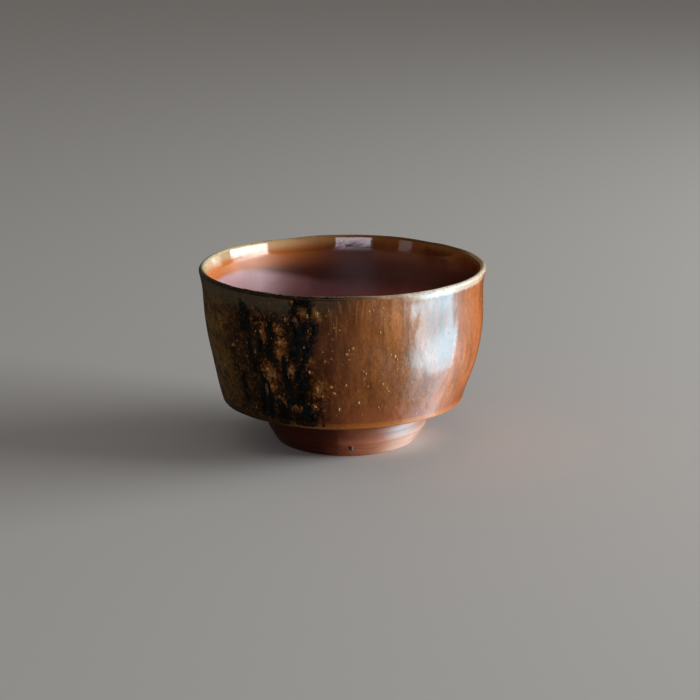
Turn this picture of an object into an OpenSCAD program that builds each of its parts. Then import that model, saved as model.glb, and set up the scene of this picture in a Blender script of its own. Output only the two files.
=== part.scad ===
// Guinomi: a small wheel-thrown sake cup of iron-rich stoneware under an amber ash glaze.
// It stands on its turned foot at z = 0, and the axis of its mouth is the z axis.
// The side with the ash runs faces -y, and angles round the cup count from there towards +x.

/* [Mouth and height] */
// Diameter across the outside of the glazed lip
rim_d = 62; // [58:0.5:66]
// Height from the standing ring of the foot to the top of the glazed lip
cup_h = 38.6; // [37:0.2:42]
// Thickness of the clay lip under its glaze
lip_clay = 0.5; // [0.4:0.1:1.2]
// Outward lean of the wall just under the lip, in degrees
lip_flare = 11; // [2:1:14]

/* [Outside wall] */
// How far the waist, where the wall stands upright, lies inside the lip
waist_in = 0.65; // [0.3:0.05:1.2]
// How far the waist lies below the top of the lip
waist_drop = 6.6; // [5:0.2:9]
// How far the turned edge above the foot lies inside the lip
chine_in = 4.5; // [3:0.1:6]
// Height of the middle of the turned edge above the underside
chine_rise = 2.7; // [2.2:0.1:4]
// Radius of the turned edge in the clay
chine_round = 0.8; // [0.4:0.1:1.2]
// Lean of the wall just above the turned edge, in degrees from upright
wall_lean = 16; // [10:1:20]

/* [Inside] */
// Thickness of the bowl's clay floor, over the foot
floor_t = 1.6; // [1.2:0.1:3]
// Lean of the inside wall just under the lip, in degrees from upright
inside_lean = 13; // [4:1:16]
// Depth of the rings that the thrower's fingers leave inside
ring_depth = 0.1; // [0:0.02:0.2]
// Height from one throwing ring to the next
ring_pitch = 4.4; // [3:0.2:7]

/* [Glaze] */
// Thickness of the glaze on the walls and the lip
glaze_t = 0.35; // [0.2:0.05:0.5]
// Extra depth of the glaze that pools on the floor inside
pool_depth = 0.4; // [0:0.1:0.6]
// Radius of the pool on the floor inside
pool_r = 11; // [7:1:14]
// How far the bead at the glaze's lower edge stands out
hem_bulge = 0.22; // [0.1:0.02:0.4]

/* [Foot] */
// Diameter across the standing edge of the foot, just above its bevel
foot_d = 31.4; // [28:0.2:33]
// Height of the foot, up to the underside of the bowl
foot_h = 7.6; // [7:0.1:8]
// Height of the crease where the turner's tool changed its lean
crease_z = 3.4; // [2.6:0.1:4.2]
// Outward lean of the foot's side below the crease, in degrees from upright
foot_lean = 31; // [20:1:34]
// Outward lean of the foot's side above the crease, in degrees from upright
neck_lean = 4; // [0:1:8]
// Width of the standing ring
foot_wall = 3.3; // [2.6:0.1:4.5]
// Depth of the hollow turned inside the foot
foot_recess = 3.6; // [2.6:0.1:4]
// Width of the bevel on both edges of the standing ring
foot_bevel = 0.4; // [0.2:0.1:0.8]
// How far the foot sits to the right of the mouth's axis, as hand work leaves it
foot_shift = 0.85; // [0:0.05:1.2]

/* [Ash and iron] */
// Height of the dark glaze runs above the glaze that they run over
run_t = 0.22; // [0.1:0.02:0.4]
// Radius of the largest ash crystal
crystal_r = 0.95; // [0.6:0.05:1.2]
// Radius of the larger iron spot on the foot
spot_r = 0.8; // [0.4:0.1:1]

/* [Hidden] */
$fn = 96;

// Steps along each stretch of the bowl's outline
inside_steps = 44;
lip_steps = 10;
flare_steps = 8;
wall_steps = 22;
chine_steps = 8;
under_steps = 6;

// Handles of the inside curve, as shares of the mouth's radius and of the inside depth
floor_reach_share = 0.87;
inside_drop_share = 0.62;
// Handles of the outside curves, as shares of the height that each curve spans
flare_handle_share = 0.35;
waist_rise_share = 0.55;
waist_handle_share = 0.36;
lean_handle_share = 0.5;
// Handles of the underside, as shares of its width
under_handle_share = 0.4;

chine_z = foot_h + chine_rise;
floor_z = foot_h + floor_t;
// Middle of the round of the clay lip
lip_mid = [rim_d / 2 - glaze_t - lip_clay / 2, cup_h - glaze_t - lip_clay / 2];
// Middle of the round of the turned edge in the clay
chine_mid = [rim_d / 2 - chine_in - glaze_t - chine_round, chine_z];
waist_r = rim_d / 2 - waist_in - glaze_t;
waist_z = cup_h - waist_drop;

// The underside slopes down from the turned edge to a flat seat for the foot, in degrees
under_slope = 12;
// Width of the seat past the foot on its far side
seat_margin = 0.3;
// Width and height of the hollow curve that joins the foot's side to the underside
cove_w = 1.4;
cove_h = 1.5;
foot_r = foot_d / 2;
crease_r = foot_r + (crease_z - foot_bevel) * tan(foot_lean);
neck_z = foot_h - cove_h;
neck_r = crease_r + (neck_z - crease_z) * tan(neck_lean);
foot_top_r = neck_r + cove_w;
seat_r = foot_top_r + foot_shift + seat_margin;

function toward(angle, length) = length * [cos(angle), sin(angle)];

// Points of a cubic curve, from point number first to point number steps
function curve(p, steps, first = 0) = [
    for (i = [first:steps])
        let (u = i / steps, v = 1 - u)
            v * v * v * p[0] + 3 * u * v * v * p[1] + 3 * u * u * v * p[2] + u * u * u * p[3]
];

// Points of an arc round a middle point, without its first point
function arc(middle, radius, from, to, steps) = [
    for (i = [1:steps]) middle + toward(from + (to - from) * i / steps, radius)
];

// Direction away from the clay at one point of an outline that starts on the axis
function away(path, i) =
    i == 0 ? [0, 1] :
    let (
        along = path[min(i + 1, len(path) - 1)] - path[i - 1],
        unit = along / norm(along)
    )
        [-unit.y, unit.x];

// A curve rippled by the thrower's fingers, with the ripple dying out at both ends
function thrown(path) = [
    for (i = [0:len(path) - 1])
        let (fade = sin(180 * i / (len(path) - 1)), wave = sin(360 * path[i].y / ring_pitch))
            path[i] + ring_depth * fade * wave * away(path, i)
];

// The clay outline of the bowl, from the middle of the floor inside, over the lip and down outside
lip_start = lip_mid + toward(180 - inside_lean, lip_clay / 2);
inside_drop = inside_drop_share * (lip_start.y - floor_z);
inside = thrown(curve(
    [
        [0, floor_z],
        [floor_reach_share * lip_start.x, floor_z],
        lip_start - toward(90 - inside_lean, inside_drop),
        lip_start
    ],
    inside_steps
));
lip = arc(lip_mid, lip_clay / 2, 180 - inside_lean, -lip_flare, lip_steps);
lip_end = lip[lip_steps - 1];
flare_span = lip_end.y - waist_z;
flare = curve(
    [
        lip_end,
        lip_end - toward(90 - lip_flare, flare_handle_share * flare_span),
        [waist_r, waist_z + waist_rise_share * flare_span],
        [waist_r, waist_z]
    ],
    flare_steps,
    1
);
wall_end = chine_mid + toward(-wall_lean, chine_round);
wall_span = waist_z - wall_end.y;
wall = curve(
    [
        [waist_r, waist_z],
        [waist_r, waist_z - waist_handle_share * wall_span],
        wall_end + toward(90 - wall_lean, lean_handle_share * wall_span),
        wall_end
    ],
    wall_steps,
    1
);
chine = arc(chine_mid, chine_round, -wall_lean, under_slope - 90, chine_steps);
under_start = chine[chine_steps - 1];
under_handle = under_handle_share * (under_start.x - seat_r);
under = curve(
    [
        under_start,
        under_start - toward(under_slope, under_handle),
        [seat_r + under_handle, foot_h],
        [seat_r, foot_h]
    ],
    under_steps,
    1
);
outline = concat(inside, lip, flare, wall, chine, under);
outward = [for (i = [0:len(outline) - 1]) away(outline, i)];

// Where each stretch of glaze starts along the outline
lip_from = inside_steps;
wall_from = lip_from + lip_steps;
chine_from = wall_from + flare_steps + wall_steps;
bare_from = chine_from + chine_steps;

// Depth of the glaze at one point of the outline: a pool on the floor, even walls, a bead at the hem
function pool(r) = r < pool_r ? pool_depth * pow(1 - pow(r / pool_r, 2), 2) : 0;
function bead(u) = glaze_t * (1 - u) + hem_bulge * sin(180 * u);
function glaze_depth(i) =
    i <= lip_from ? glaze_t + pool(outline[i].x) :
    i <= chine_from ? glaze_t :
    bead((i - chine_from) / chine_steps);
function glazed(i, extra = 0) = outline[i] + (glaze_depth(i) + extra) * outward[i];

// A stretch of glaze between two points of the outline: the clay side out, the glazed side back
function skin(from, to) = concat(
    [for (i = [from:to]) outline[i]],
    [for (i = [to:-1:from]) if (i < bare_from) glazed(i)]
);

// The outside of the glaze, as heights with their radii, and its radius at any height
glaze_radii = [for (i = [chine_from:-1:wall_from]) [glazed(i).y, glazed(i).x]];
function glaze_r(z) = lookup(z, glaze_radii);
glaze_z = cup_h - chine_z;

// Dark runs: the angle of each, then its top, its bottom, its half width and its sway.
// Heights and half widths are shares of the height from the turned edge to the lip, sway of the half width.
run_angles = [-42, -39, -36.5, -30, -27.5, -23.5, -19, -18, -16, -11.5, -47];
run_shares = [
    [0.87, 0.74, 0.038, 0.3],
    [0.63, 0.4, 0.026, -0.5],
    [0.36, 0.1, 0.036, 0.6],
    [0.78, 0.5, 0.03, 0.4],
    [0.16, 0.045, 0.056, 0],
    [0.51, 0.2, 0.032, -0.4],
    [0.775, 0.54, 0.036, 0.5],
    [0.375, 0.2, 0.062, 0.3],
    [0.115, 0.035, 0.1, 0],
    [0.77, 0.69, 0.022, 0.4],
    [0.33, 0.19, 0.03, -0.3]
];
run_steps = 10;
run_neck_share = 0.5;
// How far along its wave a run sways on its way down, in degrees
run_wave = 300;

// Ash crystals: the angle of each, then its height and its radius as a share of the largest
crystal_angles = [
    -33.6, -26, -25.2, -26, -31.8, -31, -13.5, -7.6, -15, -22.5, -9.6, -12, -5, -3.6, 1.2,
    -1.6, -19.2, 3.8, 9, 14.5, 6.4, -7, -13.4, 18, 27, 11.6, -50, 35, 46, -60
];
crystal_shares = [
    [0.7, 0.8],
    [0.73, 0.6],
    [0.64, 0.75],
    [0.56, 0.9],
    [0.42, 1],
    [0.28, 0.85],
    [0.86, 0.55],
    [0.86, 0.9],
    [0.62, 0.5],
    [0.82, 0.55],
    [0.3, 0.8],
    [0.155, 0.9],
    [0.31, 0.45],
    [0.26, 0.5],
    [0.33, 0.4],
    [0.14, 0.4],
    [0.955, 0.5],
    [0.62, 0.3],
    [0.42, 0.35],
    [0.73, 0.3],
    [0.19, 0.35],
    [0.52, 0.35],
    [0.43, 0.45],
    [0.3, 0.3],
    [0.5, 0.3],
    [0.9, 0.3],
    [0.55, 0.5],
    [0.2, 0.3],
    [0.65, 0.3],
    [0.35, 0.5]
];
// Iron spots on the foot: the angle of each, then its height as a share of the foot's
// and its radius as a share of the largest
spot_angles = [6, -8, 10.5];
spot_shares = [[0.28, 1], [0.285, 0.7], [0.69, 0.4]];

// Height of a crystal or a spot, as a share of its radius, and its clearance from what it lies on
mound_share = 0.3;
mound_steps = 5;
seat_gap = 0.02;

// Colours as they show by daylight
clay_colour = [0.56, 0.27, 0.18];
inside_colour = [0.3, 0.13, 0.1];
outside_colour = [0.48, 0.25, 0.13];
lip_colour = [0.72, 0.63, 0.5];
hem_colour = [0.8, 0.42, 0.14];
run_colour = [0.09, 0.1, 0.13];
crystal_colour = [0.8, 0.65, 0.35];
iron_colour = [0.2, 0.2, 0.24];

// Thrown wall and floor, closed below by the flat seat for the foot
module clay_bowl() {
    color(clay_colour)
        rotate_extrude()
            polygon(concat(outline, [[0, foot_h]]));
}

// The turned hollow under the foot: the nub in its middle, its corner round and its taper
nub_r = 2.4;
nub_h = 0.5;
recess_round = 1.1;
recess_r = foot_r - foot_wall;
recess_taper_share = 0.94;
recess_top_r = recess_taper_share * recess_r;
hollow_steps = 8;

// Half section of the foot: the nub, the hollow, the standing ring and the creased side
function foot_outline() = concat(
    [
        for (i = [0:hollow_steps])
            [nub_r * i / hollow_steps, foot_recess - nub_h * (1 + cos(180 * i / hollow_steps)) / 2]
    ],
    arc(
        [recess_top_r - recess_round, foot_recess - recess_round],
        recess_round, 90, 0, hollow_steps
    ),
    [
        [recess_r, foot_bevel],
        [recess_r + foot_bevel, 0],
        [foot_r - foot_bevel, 0],
        [foot_r, foot_bevel],
        [crease_r, crease_z]
    ],
    curve(
        [
            [neck_r, neck_z],
            [neck_r, neck_z] + toward(90 - neck_lean, cove_h / 2),
            [foot_top_r - cove_w / 2, foot_h],
            [foot_top_r, foot_h]
        ],
        hollow_steps
    ),
    [[0, foot_h]]
);

module foot_ring() {
    color(clay_colour)
        translate([foot_shift, 0, 0])
            rotate_extrude()
                polygon(foot_outline());
}

module inner_glaze() {
    color(inside_colour)
        rotate_extrude()
            polygon(skin(0, lip_from));
}

module lip_glaze() {
    color(lip_colour)
        rotate_extrude()
            polygon(skin(lip_from, wall_from));
}

module outer_glaze() {
    color(outside_colour)
        rotate_extrude()
            polygon(skin(wall_from, chine_from));
}

// Bead where the glaze stopped at the turned edge
module glaze_hem() {
    color(hem_colour)
        rotate_extrude()
            polygon(skin(chine_from, bare_from));
}

// A run seen from the side it is on: a thin neck above, a round drop below
function run_side(share, side) = [
    for (i = [1:run_steps - 1])
        let (
            turn = 180 * i / run_steps,
            fall = (1 - cos(turn)) / 2,
            half = glaze_z * share[2] * (run_neck_share + (1 - run_neck_share) * fall),
            sway = glaze_z * share[2] * share[3] * sin(run_wave * fall)
        )
            [
                sway + side * half * sqrt(sin(turn)),
                chine_z + glaze_z * (share[0] + (share[1] - share[0]) * fall)
            ]
];

function run_end(share, fall) = [
    glaze_z * share[2] * share[3] * sin(run_wave * fall),
    chine_z + glaze_z * (share[0] + (share[1] - share[0]) * fall)
];

function backward(path) = [for (i = [len(path) - 1:-1:0]) path[i]];

module run_outline(share) {
    polygon(concat(
        [run_end(share, 0)],
        run_side(share, 1),
        [run_end(share, 1)],
        backward(run_side(share, -1))
    ));
}

// The layer that the runs lie in, over the whole glazed wall
module run_layer() {
    rotate_extrude()
        polygon(concat(
            [for (i = [wall_from:chine_from]) glazed(i)],
            [for (i = [chine_from:-1:wall_from]) glazed(i, run_t)]
        ));
}

module ash_runs() {
    color(run_colour)
        for (i = [0:len(run_angles) - 1])
            intersection() {
                run_layer();
                rotate([0, 0, run_angles[i]])
                    translate([0, -chine_mid.x / 2, 0])
                        rotate([90, 0, 0])
                            linear_extrude(rim_d / 2)
                                run_outline(run_shares[i]);
            }
}

// A small mound melted onto a side: a flat base and an elliptic crown, raised along its own z axis
module mound(r, h) {
    rotate_extrude()
        polygon(concat(
            [[0, 0]],
            [for (i = [0:mound_steps]) [r * cos(90 * i / mound_steps), h * sin(90 * i / mound_steps)]]
        ));
}

// Seats a mound on a side that leans outward: the angle round the cup, the side's radius and height
module seated(angle, side_r, side_z, lean) {
    rotate([0, 0, angle])
        translate([0, -side_r - seat_gap, side_z])
            rotate([90 + lean, 0, 0])
                children();
}

module ash_crystals() {
    color(crystal_colour)
        for (i = [0:len(crystal_angles) - 1])
            ash_crystal(crystal_angles[i], crystal_shares[i]);
}

module ash_crystal(angle, share) {
    z = chine_z + glaze_z * share[0];
    r = crystal_r * share[1];
    lean = atan((glaze_r(z + r) - glaze_r(z - r)) / (2 * r));
    seated(angle, glaze_r(z), z, lean)
        mound(r, mound_share * r);
}

// Radius of the foot's side at any height
function foot_side_r(z) = lookup(z, [[foot_bevel, foot_r], [crease_z, crease_r], [neck_z, neck_r]]);

// Iron that melted out of the clay on the side of the foot
module iron_spots() {
    color(iron_colour)
        translate([foot_shift, 0, 0])
            for (i = [0:len(spot_angles) - 1])
                iron_spot(spot_angles[i], spot_shares[i]);
}

module iron_spot(angle, share) {
    z = foot_h * share[0];
    r = spot_r * share[1];
    seated(angle, foot_side_r(z), z, z < crease_z ? foot_lean : neck_lean)
        mound(r, mound_share * r);
}

clay_bowl();
foot_ring();
inner_glaze();
outer_glaze();
lip_glaze();
glaze_hem();
ash_runs();
ash_crystals();
iron_spots();
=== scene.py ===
"""A guinomi: a small wheel-thrown sake cup in amber ash glaze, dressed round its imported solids.

The cup stands at the origin, its front towards -Y. Angles round it are in degrees from the front, positive
towards +X. Lengths are metres, written as millimetres times MM.
"""
import math
import random
from types import SimpleNamespace

import bpy
import numpy as np
from mathutils import Matrix, Vector, noise


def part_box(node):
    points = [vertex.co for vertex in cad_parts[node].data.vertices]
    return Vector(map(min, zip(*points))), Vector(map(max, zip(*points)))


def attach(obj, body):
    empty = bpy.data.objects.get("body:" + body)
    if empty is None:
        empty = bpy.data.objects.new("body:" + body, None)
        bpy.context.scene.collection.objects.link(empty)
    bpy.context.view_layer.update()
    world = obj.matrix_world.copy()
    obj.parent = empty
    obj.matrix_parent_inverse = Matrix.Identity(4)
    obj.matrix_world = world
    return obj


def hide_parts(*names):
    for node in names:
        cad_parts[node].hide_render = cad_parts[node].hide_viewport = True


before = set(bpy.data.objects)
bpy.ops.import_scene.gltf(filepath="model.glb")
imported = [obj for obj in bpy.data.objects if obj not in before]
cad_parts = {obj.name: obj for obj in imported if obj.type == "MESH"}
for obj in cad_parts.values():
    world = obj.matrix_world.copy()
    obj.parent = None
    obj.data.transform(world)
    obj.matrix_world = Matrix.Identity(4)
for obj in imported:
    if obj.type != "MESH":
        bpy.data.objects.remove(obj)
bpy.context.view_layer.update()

MM = 0.001
BODY = "root"

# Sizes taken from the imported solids
RIM_R, _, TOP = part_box("lip_glaze")[1]
FOOT_LOW, FOOT_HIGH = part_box("foot_ring")
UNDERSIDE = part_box("clay_bowl")[0][2]
FOOT_X = (FOOT_LOW[0] + FOOT_HIGH[0]) / 2
FOOT_TOP_R = (FOOT_HIGH[0] - FOOT_LOW[0]) / 2

# The glazed outline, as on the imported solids
LIP_ROUND = 0.6 * MM
LIP_FLARE = 11
INSIDE_LEAN = 13
WAIST_R = RIM_R - 0.65 * MM
WAIST_Z = TOP - 6.6 * MM
WALL_LEAN = 16
EDGE_ROUND = 1.15 * MM
EDGE_MID = (RIM_R - 4.5 * MM - EDGE_ROUND, UNDERSIDE + 2.7 * MM)
UNDER_SLOPE = 12
FLOOR_Z = UNDERSIDE + 1.95 * MM
POOL_R = 11 * MM
POOL_DEPTH = 0.4 * MM
HEM_BULGE = 0.16 * MM
# Where the handles of the curves stand, as shares of the stretch that each curve spans
FLOOR_HANDLE = 0.87
INSIDE_HANDLE = 0.62
FLARE_HANDLES = (0.35, 0.55)
WALL_HANDLES = (0.36, 0.5)
UNDER_HANDLE = 0.4
# Rings of the thrower's fingers, which fade out between these shares of the height
RING_PITCH = 4.4 * MM
RING_DEPTH = 0.1 * MM
RINGS_FADE = (0.62, 0.75)
# How far the wall leans to the right at mid height, as hand work leaves it
SWAY = 0.55 * MM
SWAY_Z = 20 * MM
# How far down the lip's waves reach, where the lip is rough and how far that goes down and round
LIP_WAVES = 8 * MM
ROUGH_ANGLE = -38
ROUGH_SPAN = (34, 16)
ROUGH_DEPTH = (1.6 * MM, 0.4 * MM)
# Thickness of the glaze skins, and how deep under the glazed outline the clay lies
SKIN_T = 0.3 * MM
CLAY_DEPTH = 0.5 * MM
# How far the clay keeps under the hem, and how far its flat seat reaches past the foot
EDGE_GAP = 0.05 * MM
FOOT_SEAT = 0.3 * MM
WELD = 0.002 * MM

# Steps round the cup and along the stretches of its outline
TURN_STEPS = 384
PLAIN_TURN_STEPS = 256
INSIDE_STEPS = 80
LIP_STEPS = 14
FLARE_STEPS = 24
WALL_STEPS = 84
HEM_STEPS = 12
UNDER_STEPS = 16

# Dark runs: angle, top and bottom height, half width and sway, the last four in mm
RUNS = [
    (-42, 35.2, 31.0, 1.3, 0.3), (-39.5, 28.6, 21.2, 0.9, -0.4), (-36.5, 23.0, 12.6, 1.4, 0.6),
    (-30, 33.0, 24.2, 0.95, 0.3), (-27.5, 14.6, 10.9, 1.9, 0.0), (-23.5, 25.2, 15.2, 1.0, -0.4),
    (-19, 32.8, 25.4, 1.3, 0.5), (-18, 21.6, 15.4, 2.2, 0.4), (-16, 13.6, 10.7, 3.6, 0.0),
    (-11.5, 32.6, 29.4, 0.8, 0.3), (-46.5, 19.8, 15.0, 1.1, -0.3), (-33, 19.0, 11.4, 1.2, 0.3),
    (-34.5, 29.6, 26.0, 0.8, 0.2),
]
# Pale ash blotches: angle, height, half width and half height, the last three in mm
BLOTCHES = [
    (-33.3, 30.2, 0.5, 1.5), (-26.0, 31.2, 0.7, 0.8), (-25.2, 28.6, 0.8, 1.0), (-25.4, 26.0, 1.1, 1.1),
    (-31.6, 21.6, 1.4, 1.7), (-32.2, 18.0, 1.3, 1.3), (-22.0, 22.6, 0.7, 1.1), (-28.2, 15.0, 1.5, 1.1),
    (-15.9, 35.2, 0.7, 0.6), (-10.1, 34.9, 0.9, 1.0), (-18.6, 32.6, 0.5, 0.9), (-10.7, 18.6, 1.4, 1.5),
    (-18.0, 14.4, 2.2, 0.9), (-14.5, 24.8, 1.2, 0.7),
]
# Ash crystals: angle, height and radius, the last two in mm
CRYSTALS = [
    (-33.6, 30.2, 0.45), (-26, 31.0, 0.4), (-25.2, 28.4, 0.45), (-26, 26.1, 0.5), (-31.8, 22.0, 0.55),
    (-31, 18.2, 0.5), (-13.5, 34.6, 0.38), (-9.8, 35.0, 0.5), (-15, 27.8, 0.35), (-22.5, 33.5, 0.35),
    (-10.6, 18.8, 0.48), (-12, 14.7, 0.48), (-4.9, 19.3, 0.4), (-3.9, 17.9, 0.42), (1.2, 19.8, 0.38),
    (-1.7, 14.2, 0.36), (-19.2, 37.3, 0.32), (3.8, 27.8, 0.3), (9, 22.2, 0.26), (14.5, 31.0, 0.24),
    (6.4, 15.7, 0.3), (-7, 25.0, 0.3), (-13.4, 22.5, 0.36), (18, 18.8, 0.25), (27, 24.4, 0.24),
    (11.6, 35.7, 0.22), (-50, 25.8, 0.3), (35, 16.0, 0.22), (46, 28.7, 0.22), (-60, 20.2, 0.3),
    (20.5, 25.6, 0.3), (21.5, 24.9, 0.26), (1.5, 26.6, 0.28), (2.4, 25.4, 0.3), (-8.5, 17.2, 0.36),
]
# The rust round each crystal, as wide as this share of its radius
HALO = 1.3
HALOS = [(angle, height, HALO * radius, HALO * radius) for angle, height, radius in CRYSTALS]
# Small grains of ash thrown at random: middle and spread of the angle, heights and radii in mm
GRAINS = 90
GRAIN_ANGLE = (-10, 26)
GRAIN_HEIGHT = (12, 36.5)
GRAIN_SIZE = (0.08, 0.2)
# Iron spots on the foot: angle, height and radius, the last two in mm
IRON_SPOTS = [(5.5, 2.15, 0.72), (-4, 2.2, 0.35), (7.5, 5.2, 0.22)]
# Flatness of the crystals and the spots
CRYSTAL_RISE = 0.35
SPOT_RISE = 0.3
# A mound smaller than this is made of fewer faces
SMALL_MOUND = 0.25 * MM
# A run's width at its top as a share of that lower down, its reach past its ends, and its sway's pace
RUN_NECK = 0.55
RUN_PAST = 0.6
RUN_WAVES = 5
# Size and depth of the tears at the edges of runs and blotches
RUN_TEAR = (1.3 * MM, 0.42)
BLOTCH_TEAR = (0.7 * MM, 0.5)
# The melt of a run: how far out in the field it reaches and where in it the edge rises, then how deep
# the edge lies, how high the middle stands above that, and the thickness
RUN_REACH = 0.12
RUN_EDGE = (0.4, 0.85)
RUN_SINK = 0.12 * MM
RUN_RISE = 0.3 * MM
RUN_T = 0.1 * MM


def deselect_all():
    bpy.ops.object.select_all(action="DESELECT")


def work_on(piece):
    deselect_all()
    piece.select_set(True)
    bpy.context.view_layer.objects.active = piece


def edit(piece):
    work_on(piece)
    bpy.ops.object.mode_set(mode="EDIT")
    bpy.ops.mesh.select_mode(type="VERT")


def edit_all(piece):
    edit(piece)
    bpy.ops.mesh.select_all(action="SELECT")


def done(piece):
    bpy.ops.object.mode_set(mode="OBJECT")
    return piece


def place(piece):
    work_on(piece)
    bpy.ops.object.transform_apply(location=True, rotation=True, scale=True)
    return piece


def apply_all(piece):
    work_on(piece)
    for modifier in list(piece.modifiers):
        bpy.ops.object.modifier_apply(modifier=modifier.name)


def smooth(piece, angle=60):
    work_on(piece)
    bpy.ops.object.shade_smooth_by_angle(angle=math.radians(angle))
    return piece


def points_of(piece):
    mesh = piece.data
    flat = np.empty(len(mesh.vertices) * 3)
    mesh.vertices.foreach_get("co", flat)
    return flat.reshape(-1, 3)


def move_points(piece, points):
    piece.data.vertices.foreach_set("co", points.ravel())
    piece.data.update()


# Outline

def toward(angle, length):
    """A step of a length, at an angle up from outwards."""
    turn = math.radians(angle)
    return np.array([math.cos(turn), math.sin(turn)]) * length


def curve(p0, p1, p2, p3, steps):
    """Points of a cubic curve, without its first one."""
    u = (np.arange(steps) + 1)[:, None] / steps
    v = 1 - u
    p0, p1, p2, p3 = (np.array(p) for p in (p0, p1, p2, p3))
    return list(v**3 * p0 + 3 * u * v**2 * p1 + 3 * u**2 * v * p2 + u**3 * p3)


def arc(middle, radius, start, end, steps):
    """Points of an arc, without its first one."""
    turns = [start + (end - start) * (i + 1) / steps for i in range(steps)]
    return [np.array(middle) + toward(turn, radius) for turn in turns]


LIP_MID = (RIM_R - LIP_ROUND, TOP - LIP_ROUND)
LIP_START = LIP_MID + toward(180 - INSIDE_LEAN, LIP_ROUND)
LIP_END = LIP_MID + toward(-LIP_FLARE, LIP_ROUND)
WALL_END = EDGE_MID + toward(-WALL_LEAN, EDGE_ROUND)


def inside_outline():
    """From the middle of the floor to the lip, rippled by the thrower's fingers, with its glaze pool."""
    depth = LIP_START[1] - FLOOR_Z
    start = np.array([0, FLOOR_Z])
    points = [start] + curve(
        start, (FLOOR_HANDLE * LIP_START[0], FLOOR_Z),
        LIP_START - toward(90 - INSIDE_LEAN, INSIDE_HANDLE * depth), LIP_START, INSIDE_STEPS)
    for i, point in enumerate(points):
        fade = math.sin(math.pi * i / INSIDE_STEPS) * (1 - ease(point[1] / TOP, *RINGS_FADE))
        lean = math.atan2(*(points[min(i + 1, INSIDE_STEPS)] - points[max(i - 1, 0)])[::-1])
        ripple = RING_DEPTH * fade * math.sin(2 * math.pi * point[1] / RING_PITCH)
        pool = POOL_DEPTH * (1 - (point[0] / POOL_R) ** 2) ** 2 if point[0] < POOL_R else 0
        points[i] = point + np.array([-math.sin(lean), math.cos(lean)]) * (ripple + pool)
    points[0][0] = 0
    return points


def flare_outline():
    span = LIP_END[1] - WAIST_Z
    upper, lower = FLARE_HANDLES
    return curve(
        LIP_END, LIP_END - toward(90 - LIP_FLARE, upper * span),
        (WAIST_R, WAIST_Z + lower * span), (WAIST_R, WAIST_Z), FLARE_STEPS)


def wall_outline():
    span = WAIST_Z - WALL_END[1]
    upper, lower = WALL_HANDLES
    return curve(
        (WAIST_R, WAIST_Z), (WAIST_R, WAIST_Z - upper * span),
        WALL_END + toward(90 - WALL_LEAN, lower * span), WALL_END, WALL_STEPS)


def hem_outline():
    """Round the turned edge, with the bead where the glaze stopped."""
    points = []
    for i in range(1, HEM_STEPS + 1):
        u = i / HEM_STEPS
        turn = -WALL_LEAN + (UNDER_SLOPE - 90 + WALL_LEAN) * u
        radius = EDGE_ROUND - SKIN_T * u + HEM_BULGE * math.sin(math.pi * u)
        points.append(np.array(EDGE_MID) + toward(turn, radius))
    return points


FLARE = flare_outline()
WALL = wall_outline()
OUTSIDE = np.array([LIP_END] + FLARE + WALL)


def wall_r(height):
    """Radius of the glazed wall at a height."""
    return np.interp(height, OUTSIDE[::-1, 1], OUTSIDE[::-1, 0])


# Turned forms

def draw_section(name, points):
    """Draws a half section in the x-z plane: a corner, extruded from point to point."""
    deselect_all()
    bpy.ops.mesh.primitive_plane_add(size=MM, location=(points[0][0], 0, points[0][1]))
    piece = bpy.context.object
    piece.name = name
    place(piece)
    edit_all(piece)
    bpy.ops.mesh.merge(type="CENTER")
    for here, there in zip(points, points[1:]):
        step = (there[0] - here[0], 0, there[1] - here[1])
        bpy.ops.mesh.extrude_region_move(TRANSFORM_OT_translate={"value": step})
    return done(piece)


def turn_section(piece, centre=(0, 0, 0), steps=TURN_STEPS):
    """Turns a half section round the upright axis and closes the seam and the poles."""
    edit_all(piece)
    bpy.ops.mesh.spin(steps=steps, angle=2 * math.pi, center=centre, axis=(0, 0, 1))
    bpy.ops.mesh.select_all(action="SELECT")
    bpy.ops.mesh.remove_doubles(threshold=WELD)
    bpy.ops.mesh.normals_make_consistent(inside=False)
    done(piece)


def weigh(piece, name, weights):
    """A vertex group with one weight a point; points of no weight are left out."""
    group = piece.vertex_groups.new(name=name)
    for i in np.nonzero(weights > 0.001)[0]:
        group.add([int(i)], float(weights[i]), "REPLACE")


def note(piece, name, values):
    """A value a point, for the materials."""
    layer = piece.data.attributes.new(name, "FLOAT", "POINT")
    layer.data.foreach_set("value", values.astype(np.float32))


def displace(piece, size, strength, stretch=1, group="", direction="NORMAL", depth=1, shift=0):
    """Moves a surface by clouds whose grain measures size, longer by stretch upright."""
    texture = bpy.data.textures.new("clouds", "CLOUDS")
    texture.noise_scale = 1
    texture.noise_depth = depth
    deselect_all()
    bpy.ops.object.empty_add(location=(shift, shift, shift))
    grain = bpy.context.object
    grain.scale = (size, size, size * stretch)
    bpy.context.view_layer.update()
    modifier = piece.modifiers.new("displace", "DISPLACE")
    modifier.texture = texture
    modifier.texture_coords = "OBJECT"
    modifier.texture_coords_object = grain
    modifier.strength = strength
    modifier.direction = direction
    modifier.vertex_group = group
    apply_all(piece)
    bpy.data.objects.remove(grain)


def polar(points):
    """Angle in degrees from the front, height and radius of each point."""
    angle = np.degrees(np.arctan2(points[:, 0], -points[:, 1]))
    return angle, points[:, 2], np.hypot(points[:, 0], points[:, 1])


def apart(angle, middle):
    """Degrees from a middle angle, the short way round."""
    return (angle - middle + 180) % 360 - 180


def ease(value, low, high):
    t = np.clip((value - low) / (high - low), 0, 1)
    return t * t * (3 - 2 * t)


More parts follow.
